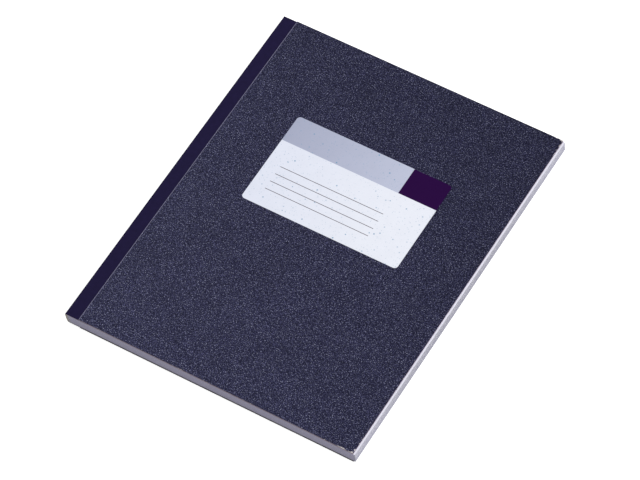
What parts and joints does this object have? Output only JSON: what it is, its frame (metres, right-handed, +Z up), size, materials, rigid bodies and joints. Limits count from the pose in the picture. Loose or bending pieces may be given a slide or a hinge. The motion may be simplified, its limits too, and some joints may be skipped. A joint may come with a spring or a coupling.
{
  "type": "register book",
  "caption": "A register book cut flush at head and tail, with a sewn text block, grained dark cards, a cloth spine tape and a blank title label; covers and leaves turn on the spine.",
  "frame": {"origin": "on the table under the middle of the closed book", "axes": "+Z up out of the front cover, +X from the spine to the fore edge, +Y from the tail to the head"},
  "size_m": [0.1658, 0.21, 0.0079],
  "materials": {
    "covering_paper": "dark navy card covering embossed with a fine leather grain, satin",
    "board": "brown-grey solid board, cut edge",
    "tape": "very dark indigo book cloth, matt",
    "leaf_paper": "uncoated writing paper, feint ruled",
    "endpaper": "uncoated white endpaper",
    "label": "bluish white label paper with fibre flecks, a grey-lavender band and a dark block",
    "thread": "white sewing thread",
    "glue": "dried binding glue"
  },
  "bodies": {
    "back_cover": {"back_board": "board", "back_covering": "covering_paper", "back_tape_flap": "tape", "back_pastedown": "endpaper"},
    "text_block": {"spine_tape": "tape", "spine_glue": "glue", "section_1_fold": "leaf_paper", "section_2_fold": "leaf_paper", "section_3_fold": "leaf_paper", "section_4_fold": "leaf_paper", "section_5_fold": "leaf_paper", "front_endpaper_fold": "endpaper", "rear_endpaper_fold": "endpaper", "sewing_thread_1": "thread", "sewing_thread_2": "thread", "sewing_thread_3": "thread", "sewing_thread_4": "thread"},
    "front_cover": {"front_board": "board", "front_covering": "covering_paper", "front_tape_flap": "tape", "front_pastedown": "endpaper", "title_label": "label"},
    "front_flyleaf": {"front_flyleaf": "endpaper"},
    "rear_flyleaf": {"rear_flyleaf": "endpaper"},
    "leaves_01": {"leaves_01": "leaf_paper"},
    "leaves_02": {"leaves_02": "leaf_paper"},
    "leaves_03": {"leaves_03": "leaf_paper"},
    "leaves_04": {"leaves_04": "leaf_paper"},
    "leaves_05": {"leaves_05": "leaf_paper"},
    "leaves_06": {"leaves_06": "leaf_paper"},
    "leaves_07": {"leaves_07": "leaf_paper"},
    "leaves_08": {"leaves_08": "leaf_paper"},
    "leaves_09": {"leaves_09": "leaf_paper"},
    "leaves_10": {"leaves_10": "leaf_paper"},
    "leaves_11": {"leaves_11": "leaf_paper"},
    "leaves_12": {"leaves_12": "leaf_paper"},
    "leaves_13": {"leaves_13": "leaf_paper"},
    "leaves_14": {"leaves_14": "leaf_paper"},
    "leaves_15": {"leaves_15": "leaf_paper"},
    "leaves_16": {"leaves_16": "leaf_paper"},
    "leaves_17": {"leaves_17": "leaf_paper"},
    "leaves_18": {"leaves_18": "leaf_paper"},
    "leaves_19": {"leaves_19": "leaf_paper"},
    "leaves_20": {"leaves_20": "leaf_paper"}
  },
  "joints": [
    {"name": "rear_hinge", "type": "hinge", "parent": "back_cover", "child": "text_block", "pos_m": [-0.08155, 0, 0.00095], "axis": [0, -1, 0], "range_deg": [0, 180]},
    {"name": "front_hinge", "type": "hinge", "parent": "text_block", "child": "front_cover", "pos_m": [-0.08245, 0, 0.00691], "axis": [0, -1, 0], "range_deg": [0, 180]},
    {"name": "front_flyleaf_turn", "type": "hinge", "parent": "text_block", "child": "front_flyleaf", "pos_m": [-0.08245, 0, 0.00691], "axis": [0, -1, 0], "range_deg": [0, 179]},
    {"name": "leaves_01_turn", "type": "hinge", "parent": "text_block", "child": "leaves_01", "pos_m": [-0.08245, 0, 0.00691], "axis": [0, -1, 0], "range_deg": [0, 178.5]},
    {"name": "leaves_02_turn", "type": "hinge", "parent": "text_block", "child": "leaves_02", "pos_m": [-0.08245, 0, 0.00691], "axis": [0, -1, 0], "range_deg": [0, 178]},
    {"name": "leaves_03_turn", "type": "hinge", "parent": "text_block", "child": "leaves_03", "pos_m": [-0.08245, 0, 0.00691], "axis": [0, -1, 0], "range_deg": [0, 177.4]},
    {"name": "leaves_04_turn", "type": "hinge", "parent": "text_block", "child": "leaves_04", "pos_m": [-0.08245, 0, 0.00691], "axis": [0, -1, 0], "range_deg": [0, 176.8]},
    {"name": "leaves_05_turn", "type": "hinge", "parent": "text_block", "child": "leaves_05", "pos_m": [-0.08245, 0, 0.00691], "axis": [0, -1, 0], "range_deg": [0, 176.3]},
    {"name": "leaves_06_turn", "type": "hinge", "parent": "text_block", "child": "leaves_06", "pos_m": [-0.08245, 0, 0.00691], "axis": [0, -1, 0], "range_deg": [0, 175.7]},
    {"name": "leaves_07_turn", "type": "hinge", "parent": "text_block", "child": "leaves_07", "pos_m": [-0.08245, 0, 0.00691], "axis": [0, -1, 0], "range_deg": [0, 175.2]},
    {"name": "leaves_08_turn", "type": "hinge", "parent": "text_block", "child": "leaves_08", "pos_m": [-0.08245, 0, 0.00691], "axis": [0, -1, 0], "range_deg": [0, 174.7]},
    {"name": "leaves_09_turn", "type": "hinge", "parent": "text_block", "child": "leaves_09", "pos_m": [-0.08245, 0, 0.00691], "axis": [0, -1, 0], "range_deg": [0, 174.1]},
    {"name": "leaves_10_turn", "type": "hinge", "parent": "text_block", "child": "leaves_10", "pos_m": [-0.08245, 0, 0.00691], "axis": [0, -1, 0], "range_deg": [0, 173.6]},
    {"name": "leaves_11_turn", "type": "hinge", "parent": "text_block", "child": "leaves_11", "pos_m": [-0.08155, 0, 0.00095], "axis": [0, 1, 0], "range_deg": [0, 173.6]},
    {"name": "leaves_12_turn", "type": "hinge", "parent": "text_block", "child": "leaves_12", "pos_m": [-0.08155, 0, 0.00095], "axis": [0, 1, 0], "range_deg": [0, 174.1]},
    {"name": "leaves_13_turn", "type": "hinge", "parent": "text_block", "child": "leaves_13", "pos_m": [-0.08155, 0, 0.00095], "axis": [0, 1, 0], "range_deg": [0, 174.7]},
    {"name": "leaves_14_turn", "type": "hinge", "parent": "text_block", "child": "leaves_14", "pos_m": [-0.08155, 0, 0.00095], "axis": [0, 1, 0], "range_deg": [0, 175.2]},
    {"name": "leaves_15_turn", "type": "hinge", "parent": "text_block", "child": "leaves_15", "pos_m": [-0.08155, 0, 0.00095], "axis": [0, 1, 0], "range_deg": [0, 175.7]},
    {"name": "leaves_16_turn", "type": "hinge", "parent": "text_block", "child": "leaves_16", "pos_m": [-0.08155, 0, 0.00095], "axis": [0, 1, 0], "range_deg": [0, 176.3]},
    {"name": "leaves_17_turn", "type": "hinge", "parent": "text_block", "child": "leaves_17", "pos_m": [-0.08155, 0, 0.00095], "axis": [0, 1, 0], "range_deg": [0, 176.8]},
    {"name": "leaves_18_turn", "type": "hinge", "parent": "text_block", "child": "leaves_18", "pos_m": [-0.08155, 0, 0.00095], "axis": [0, 1, 0], "range_deg": [0, 177.4]},
    {"name": "leaves_19_turn", "type": "hinge", "parent": "text_block", "child": "leaves_19", "pos_m": [-0.08155, 0, 0.00095], "axis": [0, 1, 0], "range_deg": [0, 178]},
    {"name": "leaves_20_turn", "type": "hinge", "parent": "text_block", "child": "leaves_20", "pos_m": [-0.08155, 0, 0.00095], "axis": [0, 1, 0], "range_deg": [0, 178.5]},
    {"name": "rear_flyleaf_turn", "type": "hinge", "parent": "text_block", "child": "rear_flyleaf", "pos_m": [-0.08155, 0, 0.00095], "axis": [0, 1, 0], "range_deg": [0, 179]}
  ],
  "couplings": [
    {"joint": "front_flyleaf_turn", "follows": "front_hinge", "ratio": 0.994},
    {"joint": "leaves_01_turn", "follows": "front_hinge", "ratio": 0.991},
    {"joint": "leaves_02_turn", "follows": "front_hinge", "ratio": 0.988},
    {"joint": "leaves_03_turn", "follows": "front_hinge", "ratio": 0.985},
    {"joint": "leaves_04_turn", "follows": "front_hinge", "ratio": 0.982},
    {"joint": "leaves_05_turn", "follows": "front_hinge", "ratio": 0.979},
    {"joint": "leaves_06_turn", "follows": "front_hinge", "ratio": 0.976},
    {"joint": "leaves_07_turn", "follows": "front_hinge", "ratio": 0.973},
    {"joint": "leaves_08_turn", "follows": "front_hinge", "ratio": 0.97},
    {"joint": "leaves_09_turn", "follows": "front_hinge", "ratio": 0.967},
    {"joint": "leaves_10_turn", "follows": "front_hinge", "ratio": 0.964},
    {"joint": "leaves_11_turn", "follows": "rear_hinge", "ratio": 0.964},
    {"joint": "leaves_12_turn", "follows": "rear_hinge", "ratio": 0.967},
    {"joint": "leaves_13_turn", "follows": "rear_hinge", "ratio": 0.97},
    {"joint": "leaves_14_turn", "follows": "rear_hinge", "ratio": 0.973},
    {"joint": "leaves_15_turn", "follows": "rear_hinge", "ratio": 0.976},
    {"joint": "leaves_16_turn", "follows": "rear_hinge", "ratio": 0.979},
    {"joint": "leaves_17_turn", "follows": "rear_hinge", "ratio": 0.982},
    {"joint": "leaves_18_turn", "follows": "rear_hinge", "ratio": 0.985},
    {"joint": "leaves_19_turn", "follows": "rear_hinge", "ratio": 0.988},
    {"joint": "leaves_20_turn", "follows": "rear_hinge", "ratio": 0.991},
    {"joint": "rear_flyleaf_turn", "follows": "rear_hinge", "ratio": 0.994}
  ]
}
